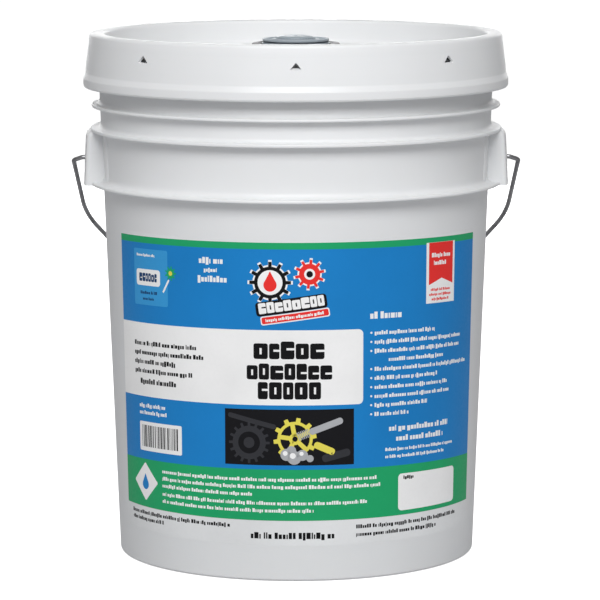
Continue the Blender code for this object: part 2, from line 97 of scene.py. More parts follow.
# Bail
PIVOT_Z = 292.0
BAIL_HANG_DEG = 51.8
BAIL_DROP = 189.0
WIRE_R = 1.65
BAIL_PIN_END_X = 157.0
BAIL_DROOP_DEG = 30.0
BAIL_SHOULDER_BEND_R = 3.0
BAIL_SHOULDER_X = 164.8
BAIL_LEAN_DEG = 4.0
BAIL_LEG = 60.0
BAIL_KNEE_R = 110.0
BAIL_TAPER_DEG = 24.0
BAIL_BOW_R = 94.0
BAIL_PIN_X = 149.8
GRIP_R = 9.9
GRIP_HALF = 46.5

# Lid
PANEL_TOP_Z = 367.0
PANEL_UNDER_Z = 364.5
LID_TOP_Z = 384.6
CHANNEL_ROOF_Z = 382.2
CREST_R = 2.4
COLLAR_SEAT_Z = 367.8
WINDOW_LOW_Z = 367.0
WINDOW_HALF_WIDTH = 4.4
WINDOW_SIDE_RISE = 2.0
LID_STEPS = 256

# Spout
RING_TOP_Z = 376.3
RING_BOTTOM_Z = 368.8
BELLOWS_TOP_Z = 374.9
NECK_TOP_Z = 378.9
CAP_TOP_Z = 381.5
CAP_ROOF_Z = 379.9
CAP_DECK_TOP_Z = 376.8
EAR_HINGE_Y = 2.0
PULL_EAR_LOW_Z = 377.7
PULL_EAR_HIGH_Z = 379.5
SPOUT_STEPS = 96

# Label
LABEL_LEFT = -157.0
LABEL_RIGHT = 161.0
LABEL_LOW = 26.0
LABEL_HIGH = 246.0
FILM_LIFT = 0.04
FILM_TOP = 0.12
INK_STEP = 0.035
INK_THICKNESS = 0.02
WRAP_STEP = 3.0


def wall_r(z):
    """Outer radius of the plain conical wall at height z."""
    return BASE_R + TAPER * z


# ---------------------------------------------------------------- mesh helpers


def rounded(corners, closed=True, steps=5):
    """Outline through (r, z, radius) corners, each turned into an arc of that radius."""
    points = []
    count = len(corners)
    for i, (r, z, radius) in enumerate(corners):
        here = Vector((r, z))
        at_end = not closed and i in (0, count - 1)
        if radius == 0.0 or at_end:
            points.append((r, z))
            continue
        before = Vector(corners[i - 1][:2]) - here
        after = Vector(corners[(i + 1) % count][:2]) - here
        half = before.angle(after) / 2
        back = min(radius / math.tan(half), 0.49 * before.length, 0.49 * after.length)
        radius = back * math.tan(half)
        towards = (before.normalized() + after.normalized()).normalized()
        centre = here + towards * (radius / math.sin(half))
        first = here + before.normalized() * back - centre
        last = here + after.normalized() * back - centre
        start = math.atan2(first.y, first.x)
        sweep = math.atan2(first.cross(last), first.dot(last))
        for k in range(steps + 1):
            angle = start + sweep * k / steps
            points.append((centre.x + radius * math.cos(angle), centre.y + radius * math.sin(angle)))
    return points


def lathe(outline, steps, closed=True, start_deg=0.0, sweep_deg=360.0):
    """bmesh of an outline of (radius, height) points turned about Z. Points on the axis become poles."""
    bm = bmesh.new()
    whole = sweep_deg == 360.0
    columns = steps if whole else steps + 1
    rows = []
    for r, z in outline:
        if r < 1e-6:
            rows.append([bm.verts.new((0.0, 0.0, z * MM))] * columns)
            continue
        row = []
        for i in range(columns):
            angle = math.radians(start_deg + sweep_deg * i / steps)
            row.append(bm.verts.new(Vector((r * math.cos(angle), r * math.sin(angle), z)) * MM))
        rows.append(row)
    pairs = list(zip(rows, rows[1:]))
    if closed:
        pairs.append((rows[-1], rows[0]))
    for low, high in pairs:
        for i in range(steps):
            j = (i + 1) % columns
            corners = [low[i], low[j], high[j], high[i]]
            unique = list(dict.fromkeys(corners))
            if len(unique) > 2:
                bm.faces.new(unique)
    if not whole:
        bm.faces.new([row[0] for row in rows])
        bm.faces.new([row[-1] for row in rows][::-1])
    bmesh.ops.recalc_face_normals(bm, faces=bm.faces)
    return bm


def add_piece(name, bm, material, sharp_deg=SHARP_DEG):
    mesh = bpy.data.meshes.new(name)
    bm.to_mesh(mesh)
    bm.free()
    mesh.shade_smooth()
    mesh.set_sharp_from_angle(angle=math.radians(sharp_deg))
    mesh.materials.append(material)
    piece = bpy.data.objects.new(name, mesh)
    bpy.context.scene.collection.objects.link(piece)
    return piece


def cut(target, cutters):
    """Boolean difference of the target with each cutter's bmesh, applied."""
    for cutter_bm in cutters:
        mesh = bpy.data.meshes.new("cutter")
        cutter_bm.to_mesh(mesh)
        cutter_bm.free()
        cutter = bpy.data.objects.new("cutter", mesh)
        bpy.context.scene.collection.objects.link(cutter)
        modifier = target.modifiers.new("cut", "BOOLEAN")
        modifier.operation = "DIFFERENCE"
        modifier.solver = "EXACT"
        modifier.object = cutter
        graph = bpy.context.evaluated_depsgraph_get()
        result = bpy.data.meshes.new_from_object(target.evaluated_get(graph))
        target.modifiers.clear()
        target.data = result
        bpy.data.objects.remove(cutter)
    target.data.shade_smooth()
    target.data.set_sharp_from_angle(angle=math.radians(SHARP_DEG))


def tube(path, radius, sides, scales=None):
    """bmesh of a round tube along a list of points in mm, with flat ends."""
    bm = bmesh.new()
    rings = []
    normal = Vector((0.0, 0.0, 1.0))
    for i, point in enumerate(path):
        ahead = (path[min(i + 1, len(path) - 1)] - path[max(i - 1, 0)]).normalized()
        normal = (normal - ahead * normal.dot(ahead)).normalized()
        side = ahead.cross(normal)
        size = radius * (scales[i] if scales else 1.0)
        ring = []
        for k in range(sides):
            angle = 2 * math.pi * k / sides
            offset = normal * math.cos(angle) * size + side * math.sin(angle) * size
            ring.append(bm.verts.new((point + offset) * MM))
        rings.append(ring)
    for low, high in zip(rings, rings[1:]):
        for k in range(sides):
            j = (k + 1) % sides
            bm.faces.new((low[k], low[j], high[j], high[k]))
    bm.faces.new(rings[0])
    bm.faces.new(rings[-1][::-1])
    bmesh.ops.recalc_face_normals(bm, faces=bm.faces)
    return bm


def move(bm, x=0.0, y=0.0, z=0.0):
    bmesh.ops.translate(bm, verts=bm.verts, vec=Vector((x, y, z)) * MM)


def turn(bm, degrees, axis):
    matrix = Matrix.Rotation(math.radians(degrees), 3, axis)
    bmesh.ops.rotate(bm, verts=bm.verts, cent=(0.0, 0.0, 0.0), matrix=matrix)


def merge(bm, other):
    """Adds another bmesh's geometry to bm."""
    mesh = bpy.data.meshes.new("part")
    other.to_mesh(mesh)
    other.free()
    bm.from_mesh(mesh)
    bpy.data.meshes.remove(mesh)


def place(piece, body, slot, *nodes):
    """The piece rides on a body and stands for the given CAD nodes, which are hidden. The slot argument is not used.
    """
    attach(piece, body)
    if nodes:
        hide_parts(*nodes)


# ---------------------------------------------------------------- materials


class Shade:
    """A node material around one Principled shader, with short calls for the nodes that it needs."""

    def __init__(self, name, colour, roughness, **values):
        self.material = bpy.data.materials.new(name)
        self.material.use_nodes = True
        self.tree = self.material.node_tree
        self.shader = self.tree.nodes["Principled BSDF"]
        self.shader.inputs["Base Color"].default_value = (*colour, 1.0)
        self.shader.inputs["Roughness"].default_value = roughness
        for key, value in values.items():
            self.shader.inputs[key.replace("_", " ")].default_value = value
        self.colour = colour
        self.coords = self.tree.nodes.new("ShaderNodeTexCoord").outputs["Object"]

    def node(self, kind, inputs=None, **settings):
        node = self.tree.nodes.new(kind)
        for key, value in settings.items():
            setattr(node, key, value)
        for key, value in (inputs or {}).items():
            if isinstance(value, bpy.types.NodeSocket):
                self.tree.links.new(value, node.inputs[key])
            else:
                node.inputs[key].default_value = value
        return node

    def stretched(self, x, y, z):
        """Object coordinates scaled by a factor along each axis."""
        return self.node("ShaderNodeMapping", {"Vector": self.coords, "Scale": (x, y, z)}).outputs[0]

    def noise(self, scale, detail=3.0, roughness=0.55, vector=None):
        inputs = {
            "Vector": vector or self.coords,
            "Scale": scale,
            "Detail": detail,
            "Roughness": roughness,
        }
        return self.node("ShaderNodeTexNoise", inputs).outputs["Fac"]

    def ramp(self, fac, low, high, start=0.0, end=1.0):
        inputs = {"Value": fac, "From Min": low, "From Max": high, "To Min": start, "To Max": end}
        return self.node("ShaderNodeMapRange", inputs).outputs["Result"]

    def math(self, operation, a, b=0.5):
        return self.node("ShaderNodeMath", {0: a, 1: b}, operation=operation).outputs[0]

    def mix(self, fac, a, b):
        """Colour mix of a (colour or socket) towards b."""
        node = self.node("ShaderNodeMix", data_type="RGBA")
        for index, value in ((0, fac), (6, a), (7, b)):
            if isinstance(value, bpy.types.NodeSocket):
                self.tree.links.new(value, node.inputs[index])
            elif index == 0:
                node.inputs[index].default_value = value
            else:
                node.inputs[index].default_value = (*value, 1.0)
        return node.outputs[2]

    def set(self, socket, value):
        self.tree.links.new(value, self.shader.inputs[socket])

    def bump(self, *layers):
        """Bump from (height socket, strength, distance in mm) layers."""
        normal = None
        for height, strength, distance in layers:
            inputs = {"Height": height, "Strength": strength, "Distance": distance * MM}
            if normal:
                inputs["Normal"] = normal
            normal = self.node("ShaderNodeBump", inputs).outputs["Normal"]
        self.set("Normal", normal)


def shaded(colour, factor):
    return tuple(channel * factor for channel in colour)


def moulded_plastic(name, colour, roughness, subsurface=0.12, dust=0.22):
    """Injection-moulded polyethylene: soft light inside it, flow streaks, fine grain, scuffs and dust."""
    shade = Shade(name, colour, roughness, IOR=1.5)
    shader = shade.shader
    shader.inputs["Subsurface Weight"].default_value = subsurface
    shader.inputs["Subsurface Radius"].default_value = (1.0, 0.9, 0.8)
    shader.inputs["Subsurface Scale"].default_value = 0.003
    cloud = shade.noise(9.0, 4.0)
    streak = shade.noise(14.0, 3.0, vector=shade.stretched(1.0, 1.0, 0.12))
    grain = shade.noise(1400.0, 2.0)
    scuff_lines = shade.noise(60.0, 6.0, 0.7, shade.stretched(0.5, 0.5, 6.0))
    scuff = shade.ramp(scuff_lines, 0.62, 0.72)
    facing = shade.node("ShaderNodeNewGeometry").outputs["Normal"]
    up = shade.node("ShaderNodeSeparateXYZ", {"Vector": facing}).outputs["Z"]
    dusty = shade.math("MULTIPLY", shade.ramp(up, 0.35, 1.0), shade.ramp(shade.noise(120.0, 5.0), 0.42, 0.7))
    base = shade.mix(shade.ramp(cloud, 0.3, 0.7), shaded(colour, 0.975), shaded(colour, 1.015))
    base = shade.mix(shade.math("MULTIPLY", scuff, 0.10), base, shaded(colour, 0.80))
    grey = (colour[0] * 0.80, colour[1] * 0.78, colour[2] * 0.74)
    shade.set("Base Color", shade.mix(shade.math("MULTIPLY", dusty, dust), base, grey))
    rough = shade.ramp(streak, 0.3, 0.7, roughness - 0.05, roughness + 0.06)
    rough = shade.math("ADD", rough, shade.math("MULTIPLY", scuff, 0.08))
    shade.set("Roughness", shade.math("ADD", rough, shade.math("MULTIPLY", dusty, 0.2)))
    shade.bump((streak, 0.13, 0.25), (grain, 0.30, 0.03), (scuff, 0.15, 0.03))
    return shade.material


def printed_film(name, colour, roughness=0.42):
    """Matt ink on film: slight mottle in the ink and shallow ripples in the film."""
    shade = Shade(name, colour, roughness, IOR=1.45)
    shade.shader.inputs["Specular IOR Level"].default_value = 0.20
    mottle = shade.noise(420.0, 4.0)
    cloud = shade.noise(14.0, 3.0)
    base = shade.mix(shade.ramp(cloud, 0.3, 0.7), shaded(colour, 0.94), shaded(colour, 1.04))
    shade.set("Base Color", shade.mix(shade.ramp(mottle, 0.45, 0.75, 0.0, 0.10), base, shaded(colour, 0.80)))
    shade.set("Roughness", shade.ramp(mottle, 0.3, 0.7, roughness - 0.05, roughness + 0.07))
    ripple = shade.noise(45.0, 2.0, vector=shade.stretched(1.0, 1.0, 0.4))
    shade.bump((ripple, 0.22, 0.25), (mottle, 0.12, 0.02))
    return shade.material


def drawn_wire(name):
    """Zinc-coated wire: dull patches and a few pits."""
    colour = (0.30, 0.30, 0.31)
    shade = Shade(name, colour, 0.32, Metallic=1.0)
    patch = shade.noise(70.0, 5.0, 0.65)
    pits = shade.noise(900.0, 3.0)
    base = shade.mix(shade.ramp(patch, 0.35, 0.65), shaded(colour, 0.70), shaded(colour, 1.35))
    shade.set("Base Color", shade.mix(shade.ramp(pits, 0.60, 0.75, 0.0, 0.5), base, shaded(colour, 0.45)))
    shade.set("Roughness", shade.ramp(patch, 0.35, 0.65, 0.24, 0.44))
    shade.bump((pits, 0.35, 0.05), (patch, 0.2, 0.1))
    return shade.material


def tinplate(name):
    """Pressed tinplate, coloured near black as painted shade for the ring's shadowed side, with turning marks around
    the axis and small stains.
    """
    # Painted shade: this near-black base colour stands in for the shadow and dark reflection on the ring's side.
    colour = (0.050, 0.055, 0.060)
    shade = Shade(name, colour, 0.45, Metallic=1.0)
    lines = shade.noise(260.0, 4.0, vector=shade.stretched(0.25, 0.25, 3.0))
    stain = shade.noise(150.0, 5.0, 0.6)
    shade.set("Base Color", shade.mix(shade.ramp(stain, 0.5, 0.75, 0.0, 0.6), colour, shaded(colour, 0.55)))
    shade.set("Roughness", shade.ramp(lines, 0.3, 0.7, 0.36, 0.54))
    shade.bump((lines, 0.2, 0.03), (stain, 0.12, 0.04))
    return shade.material


def foam(name):
    """Closed-cell gasket foam: a skin of small round cells."""
    colour = (0.20, 0.20, 0.21)
    shade = Shade(name, colour, 0.85)
    cells = shade.node("ShaderNodeTexVoronoi", {"Vector": shade.coords, "Scale": 1600.0}).outputs["Distance"]
    shade.set("Base Color", shade.mix(shade.ramp(cells, 0.0, 0.6), shaded(colour, 1.25), shaded(colour, 0.6)))
    shade.set("Roughness", shade.ramp(cells, 0.0, 0.6, 0.75, 0.95))
    shade.bump((cells, 0.5, 0.15))
    return shade.material


# ---------------------------------------------------------------- pail


def ring_corners(ring):
    bottom_z, thickness, edge_r, fillet = ring
    top_z = bottom_z + thickness
    return [
        (wall_r(bottom_z), bottom_z, 0.5),
        (edge_r, bottom_z, 0.7),
        (edge_r, top_z, 1.0),
        (wall_r(top_z), top_z, fillet),
    ]


def shell_outline():
    low_z = FLOOR_UNDERSIDE_Z
    high_z = FLOOR_UNDERSIDE_Z + 0.8
    corners = [
        (0.0, low_z, 0.0),
        (14.0, low_z, 0.4),
        (14.6, high_z, 0.4),
        (62.0, high_z, 0.3),
        (62.6, low_z, 0.3),
        (66.0, low_z, 0.3),
        (66.6, high_z, 0.3),
        (FOOT_RECESS_R, high_z, 1.0),
        (FOOT_RECESS_R, 6.0, 0.6),
        (FOOT_INNER_R, 2.4, 0.6),
        (FOOT_INNER_R, 0.0, 0.4),
        (wall_r(0.0), 0.0, FOOT_CORNER_R),
    ]
    for ring in RINGS:
        corners += ring_corners(ring)
    corners += [
        (wall_r(PAIL_TOP_Z), PAIL_TOP_Z, 0.8),
        (wall_r(PAIL_TOP_Z) - WALL, PAIL_TOP_Z, 0.8),
        (wall_r(FLOOR_TOP_Z) - WALL, FLOOR_TOP_Z, 5.0),
        (66.0, FLOOR_TOP_Z, 0.3),
        (65.0, FLOOR_TOP_Z + 0.6, 0.3),
        (62.0, FLOOR_TOP_Z + 0.6, 0.3),
        (61.0, FLOOR_TOP_Z, 0.3),
        (0.0, FLOOR_TOP_Z, 0.0),
    ]
    return rounded(corners, closed=False)


def ear_sector():
    """A bail ear's outside as a solid sector about +X, with rounded corners."""
    half_deg = math.degrees(math.asin(EAR_HALF_WIDTH / EAR_BOTTOM_R))
    corners = [
        (EAR_BOTTOM_R, EAR_BOTTOM_Z, 0.0),
        (EAR_TOP_R, EAR_TOP_Z, EAR_EDGE_R),
        (wall_r(EAR_TOP_Z) - 1.2, EAR_TOP_Z, 0.0),
        (wall_r(EAR_BOTTOM_Z) - 1.2, EAR_BOTTOM_Z, 0.0),
    ]
    bm = lathe(rounded(corners, steps=6), 20, start_deg=-half_deg, sweep_deg=2 * half_deg)
    upright = [
        edge
        for edge in bm.edges
        if edge.calc_face_angle(0.0) > math.radians(60.0)
        and all(vert.co.xy.length > (EAR_TOP_R - 5.5) * MM for vert in edge.verts)
        and all(abs(math.atan2(vert.co.y, vert.co.x)) > math.radians(half_deg - 0.1) for vert in edge.verts)
    ]
    bmesh.ops.bevel(
        bm, geom=upright, offset=3.4 * MM, offset_type="OFFSET", segments=5, profile=0.5, affect="EDGES"
    )
    bmesh.ops.recalc_face_normals(bm, faces=bm.faces)
    return bm


def ear_pocket():
    """The hollow behind an ear's face, open below."""
    half_deg = math.degrees(math.asin((EAR_HALF_WIDTH - EAR_WALL) / EAR_BOTTOM_R))
    open_z = EAR_BOTTOM_Z - 4.0
    roof_z = EAR_TOP_Z - EAR_WALL
    corners = [
        (wall_r(open_z) + 0.6, open_z, 0.0),
        (EAR_BOTTOM_R - EAR_WALL, open_z, 0.0),
        (EAR_TOP_R - EAR_WALL, roof_z, 3.5),
        (wall_r(roof_z) + 0.6, roof_z, 1.0),
    ]
    return lathe(rounded(corners), 20, start_deg=-half_deg, sweep_deg=2 * half_deg)


def wire_hole():
    bm = lathe([(2.0, -6.0), (2.0, 6.0)], 32, closed=False)
    for end in (0, 1):
        ring = [edge for edge in bm.edges if edge.is_boundary]
        bmesh.ops.holes_fill(bm, edges=ring, sides=0)
    bmesh.ops.recalc_face_normals(bm, faces=bm.faces)
    turn(bm, 90.0, "Y")
    move(bm, x=EAR_BOTTOM_R, z=PIVOT_Z)
    return bm


def ear_boss():
    """A raised ring around the wire's hole, on the inside of the ear's face."""
    bm = lathe(rounded([(2.1, 0.0, 0.2), (5.2, 0.0, 0.2), (4.6, 2.0, 0.5), (2.1, 2.0, 0.3)]), 32)
    turn(bm, -90.0, "Y")
    move(bm, x=EAR_TOP_R - EAR_WALL + 0.3, z=PIVOT_Z)
    return bm


def ear_fold(degrees):
    """A soft upright fold in the skirt beside an ear."""
    angle = math.radians(degrees)
    direction = Vector((math.cos(angle), math.sin(angle), 0.0))
    inset = EAR_FOLD_R - EAR_FOLD_RISE
    path = [direction * (wall_r(z) - inset) + Vector((0.0, 0.0, z)) for z in (274.6, 284.0, 294.0, 304.0, 314.0)]
    return tube(path, EAR_FOLD_R, 48)


def build_pail(material):
    shell = add_piece("pail_shell", lathe(shell_outline(), PAIL_STEPS, closed=False), material)
    pockets = []
    for angle in (0.0, 180.0):
        pocket = ear_pocket()
        turn(pocket, angle, "Z")
        pockets.append(pocket)
    cut(shell, pockets)
    place(shell, "pail", "pail_white", "pail_body")
    for name, angle in (("pail_ear_right", 0.0), ("pail_ear_left", 180.0)):
        bm = ear_sector()
        ear = add_piece(name, bm, material)
        cut(ear, [ear_pocket(), wire_hole()])
        boss = ear_boss()
        merge(boss, ear_fold(EAR_FOLD_DEG))
        merge(boss, ear_fold(-EAR_FOLD_DEG))
        boss.from_mesh(ear.data)
        turn(boss, angle, "Z")
        boss.to_mesh(ear.data)
        boss.free()
        ear.data.set_sharp_from_angle(angle=math.radians(SHARP_DEG))
        place(ear, "pail", "pail_white")


# ---------------------------------------------------------------- bail


def bend(x, drop, radius, start_deg, end_deg, count):
    """Points of a bend in the bail's plane. A direction of 0 runs straight down, 90 towards -X."""
    start = math.radians(start_deg)
    points = []
    for i in range(count):
        angle = math.radians(start_deg + (end_deg - start_deg) * i / (count - 1))
        inward = radius * (math.cos(start) - math.cos(angle))
        points.append((x - inward, drop + radius * (math.sin(angle) - math.sin(start))))
    return points


def bail_half():
    """The wire's right half as (x, drop) from the pivot, from the pin to the middle of the bow."""
    radius = BAIL_SHOULDER_BEND_R
    out_deg = BAIL_DROOP_DEG - 90.0
    droop = math.radians(BAIL_DROOP_DEG)
    lean = math.tan(math.radians(BAIL_LEAN_DEG))
    route = [(BAIL_PIN_X, 0.0), (BAIL_PIN_X + 5.0, 0.0)]
    route += bend(BAIL_PIN_END_X, 0.0, radius, -90.0, out_deg, 7)
    pin_x, pin_drop = route[-1]
    corner_x = BAIL_SHOULDER_X - lean * (pin_drop - math.tan(droop) * pin_x)
    corner_x /= 1.0 + lean * math.tan(droop)
    corner_drop = pin_drop + math.tan(droop) * (corner_x - pin_x)
    setback = radius * math.tan(math.radians(BAIL_LEAN_DEG - out_deg) / 2)
    start_x = corner_x - setback * math.cos(droop)
    route += bend(start_x, corner_drop - setback * math.sin(droop), radius, out_deg, BAIL_LEAN_DEG, 10)
    leg_x = BAIL_SHOULDER_X - lean * BAIL_LEG
    knee = bend(leg_x, BAIL_LEG, BAIL_KNEE_R, BAIL_LEAN_DEG, BAIL_TAPER_DEG, 14)
    knee_x, knee_drop = knee[-1]
    bow_drop = BAIL_DROP - BAIL_BOW_R * (1.0 - math.sin(math.radians(BAIL_TAPER_DEG)))
    bow_x = knee_x - (bow_drop - knee_drop) * math.tan(math.radians(BAIL_TAPER_DEG))
    return route + knee + bend(bow_x, bow_drop, BAIL_BOW_R, BAIL_TAPER_DEG, 90.0, 28)


def hang(x, drop):
    """A point of the bail's plane, as the bail hangs at rest."""
    angle = math.radians(BAIL_HANG_DEG)
    return Vector((x, drop * math.sin(angle), PIVOT_Z - drop * math.cos(angle)))


def build_bail(wire_material, grip_material):
    half = bail_half()
    route = half + [(-x, drop) for x, drop in reversed(half[:-1])]
    scales = [1.5, 1.0] + [1.0] * (len(route) - 4) + [1.0, 1.5]
    path = [hang(x, drop) for x, drop in route]
    wire = add_piece("bail_wire_round", tube(path, WIRE_R, 20, scales), wire_material)
    place(wire, "bail", "wire_steel", "bail_wire")

    corners = [(2.05, -GRIP_HALF, 0.3), (8.4, -GRIP_HALF, 0.8), (9.3, -GRIP_HALF + 3.0, 0.8)]
    ribs = 13
    pitch = 2 * (GRIP_HALF - 8.0) / ribs
    for i in range(ribs):
        z = -GRIP_HALF + 8.0 + pitch * i
        corners += [
            (8.7, z + 0.6, 0.6),
            (GRIP_R, z + 1.5, 0.8),
            (GRIP_R, z + pitch - 1.5, 0.8),
            (8.7, z + pitch - 0.6, 0.6),
        ]
    corners += [(9.3, GRIP_HALF - 3.0, 0.8), (8.4, GRIP_HALF, 0.8), (2.05, GRIP_HALF, 0.3)]
    grip_bm = lathe(rounded(corners, steps=3), 48)
    turn(grip_bm, 90.0, "Y")
    centre = hang(0.0, BAIL_DROP)
    move(grip_bm, y=centre.y, z=centre.z)
    grip = add_piece("grip_tube", grip_bm, grip_material)
    place(grip, "grip", "pail_white", "bail_grip")


# ---------------------------------------------------------------- lid


def lid_outline():
    corners = [
        (153.6, 345.0, 0.4),
        (155.6, 345.0, 0.7),
        (156.4, 346.4, 0.8),
        (156.4, 351.6, 2.0),
        (154.8, 355.8, 4.0),
        (154.1, 363.0, 4.0),
        (152.5, 376.0, 4.0),
        (151.7, LID_TOP_Z, CREST_R),
        (141.0, LID_TOP_Z, CREST_R),
        (140.6, PANEL_TOP_Z, 3.2),
        (124.4, PANEL_TOP_Z, 0.6),
        (123.6, PANEL_TOP_Z + 1.0, 0.6),
        (119.8, PANEL_TOP_Z + 1.0, 0.6),
        (119.0, PANEL_TOP_Z, 0.6),
        (57.0, PANEL_TOP_Z, 0.8),
        (55.6, PANEL_TOP_Z - 0.9, 0.8),
        (37.4, PANEL_TOP_Z - 0.9, 0.6),
        (36.4, PANEL_TOP_Z, 0.6),
        (34.0, PANEL_TOP_Z, 0.4),
        (33.2, COLLAR_SEAT_Z, 0.4),
        (30.2, COLLAR_SEAT_Z, 0.4),
        (30.2, 373.5, 0.5),
        (27.8, 373.5, 0.5),
        (27.8, PANEL_UNDER_Z, 0.5),
        (142.8, PANEL_UNDER_Z, 1.0),
        (143.2, CHANNEL_ROOF_Z, 0.8),
        (149.2, CHANNEL_ROOF_Z, 0.8),
        (150.1, 376.0, 1.0),
        (151.7, 363.0, 2.0),
        (152.4, 355.8, 2.0),
        (153.6, 351.6, 1.5),
    ]
    return rounded(corners, steps=4)


def lid_window(index):
    """Cutter, point up, for one window in the lid's skirt, with a sloping sill. The front one is lower."""
    bm = bmesh.new()
    low_z = WINDOW_LOW_Z + (WINDOW_SIDE_RISE if index else 0.0)
    half = WINDOW_HALF_WIDTH + (0.9 if index else 0.0)
    slope = 0.25 if index else 1.0
    sections = []
    for y, sill, spread in ((-148.4, 1.9, 0.9), (-151.3, 1.4, 0.92), (-153.6, 0.0, 1.0), (-157.2, 0.0, 1.0)):
        sill_z = low_z + sill * slope
        corners = [(-half * spread, sill_z, 0.5), (half * spread, sill_z, 0.5), (0.0, low_z + 5.4, 0.4)]
        flat = rounded(corners, steps=3)
        sections.append([bm.verts.new(Vector((x, y, z)) * MM) for x, z in flat])
    bm.faces.new(sections[0])
    bm.faces.new(sections[-1][::-1])
    for near, far in zip(sections, sections[1:]):
        for i in range(len(near)):
            j = (i + 1) % len(near)
            bm.faces.new((near[i], far[i], far[j], near[j]))
    bmesh.ops.recalc_face_normals(bm, faces=bm.faces)
    turn(bm, 45.0 * index, "Z")
    return bm


def build_lid(material):
    lid = add_piece("lid_shell", lathe(lid_outline(), LID_STEPS), material)
    windows = lid_window(0)
    for index in range(1, 8):
        merge(windows, lid_window(index))
    cut(lid, [windows])
    place(lid, "lid", "lid_white", "lid")


# ---------------------------------------------------------------- spout


def build_crimp_ring(material):
    """Pressed ring, rolled under the collar's edge, with shallow crimps around its side."""
    corners = [
        (30.8, RING_BOTTOM_Z, 0.3),
        (31.9, RING_BOTTOM_Z, 0.5),
        (32.5, RING_BOTTOM_Z + 0.6, 0.5),
        (32.5, RING_TOP_Z, 1.1),
        (28.4, RING_TOP_Z, 0.5),
        (28.0, RING_TOP_Z - 0.35, 0.3),
        (26.0, RING_TOP_Z - 0.35, 0.2),
        (26.0, RING_TOP_Z - 1.1, 0.2),
        (31.5, RING_TOP_Z - 1.1, 0.5),
        (31.5, RING_BOTTOM_Z + 0.9, 0.2),
        (30.8, RING_BOTTOM_Z + 0.9, 0.1),
    ]
    bm = lathe(rounded(corners, steps=4), 192)
    for vert in bm.verts:
        low = vert.co.z < (RING_BOTTOM_Z + 3.6) * MM
        if vert.co.xy.length > 30.0 * MM and low:
            angle = math.atan2(vert.co.y, vert.co.x)
            squeeze = 1.0 - 0.006 * max(0.0, math.cos(24 * angle))
            vert.co.x *= squeeze
            vert.co.y *= squeeze
    ring = add_piece("crimp_ring_rolled", bm, material)
    place(ring, "lid", "ring_steel", "spout_crimp_ring")


def bellows_outline():
    """Flange under the crimp ring, then the pleated funnel down to the neck."""
    thickness = 0.9
    top_side = [(25.4, BELLOWS_TOP_Z - thickness)]
    for _ in range(3):
        r, z = top_side[-1]
        top_side += [(r - 0.3, z - 4.8), (r - 3.4, z - 6.0)]
    flange = [(31.0, BELLOWS_TOP_Z - 1.1, 0.3), (31.0, BELLOWS_TOP_Z, 0.3), (25.4, BELLOWS_TOP_Z, 0.5)]
    corners = [(26.3, BELLOWS_TOP_Z - 1.1, 0.3)] + flange
    corners += [(r, z, 0.9) for r, z in top_side[1:-1]]
    end_r, end_z = top_side[-1]
    corners += [(end_r, end_z, 0.2), (end_r, end_z - thickness, 0.2)]
    corners += [(r + thickness, z - thickness, 0.9) for r, z in top_side[-2:0:-1]]
    return rounded(corners, steps=5)


def build_bellows(material):
    bellows = add_piece("bellows_pleated", lathe(bellows_outline(), SPOUT_STEPS), material)
    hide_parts("spout_bellows")
    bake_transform(bellows)


def thread():
    """Two and a half turns of a right-hand thread on the neck, faded in and out at its ends."""
    bm = bmesh.new()
    turns, lead, per_turn = 2.5, 4.0, 64
    start_z = 367.2
    count = int(turns * per_turn)
    sections = []
    for i in range(count + 1):
        angle = 2 * math.pi * i / per_turn
        fade = min(1.0, i / 12, (count - i) / 12)
        z = start_z + lead * i / per_turn
        section = []
        for r, dz in ((11.85, -0.9), (11.95 + 0.40 * fade, -0.3), (11.95 + 0.40 * fade, 0.3), (11.85, 0.9)):
            point = Vector((r * math.cos(angle), r * math.sin(angle), z + dz))
            section.append(bm.verts.new(point * MM))
        sections.append(section)
    for near, far in zip(sections, sections[1:]):
        for k in range(4):
            j = (k + 1) % 4
            bm.faces.new((near[k], far[k], far[j], near[j]))
    bm.faces.new(sections[0])
    bm.faces.new(sections[-1][::-1])
    bmesh.ops.recalc_face_normals(bm, faces=bm.faces)
    return bm


def build_neck(material):
    base_z = BELLOWS_TOP_Z - 0.9 - 18.0 - 0.9
    corners = [
        (10.5, base_z, 0.3),
        (13.2, base_z, 0.4),
        (13.2, base_z + 1.6, 0.4),
        (12.0, base_z + 2.8, 0.6),
        (12.0, NECK_TOP_Z, 0.6),
        (10.5, NECK_TOP_Z, 0.5),
    ]
    bm = lathe(rounded(corners, steps=4), SPOUT_STEPS)
    merge(bm, thread())
    neck = add_piece("neck_threaded", bm, material)
    place(neck, "spout", "spout_natural", "spout_neck")

    disc = [(0.0, 370.6, 0.0), (10.2, 370.6, 0.2), (10.2, 373.0, 0.2), (9.4, 373.0, 0.2)]
    disc += [(9.4, 371.4, 0.4), (0.0, 371.4, 0.0)]
    bm = lathe(rounded(disc, closed=False), 64, closed=False)
    stem = lathe(rounded([(0.0, 371.0, 0.0), (1.6, 371.0, 0.0), (1.2, 375.0, 0.0), (0.0, 375.0, 0.0)], closed=False),
                 24, closed=False)
    move(stem, x=6.0)
    merge(bm, stem)
    ring = [(4.9, 374.4, 0.7), (7.4, 374.4, 0.7), (7.4, 376.2, 0.7), (4.9, 376.2, 0.7)]
    merge(bm, lathe(rounded(ring), 64))
    seal = add_piece("seal_with_ring", bm, material)
    place(seal, "spout", "spout_natural", "tear_out_seal")


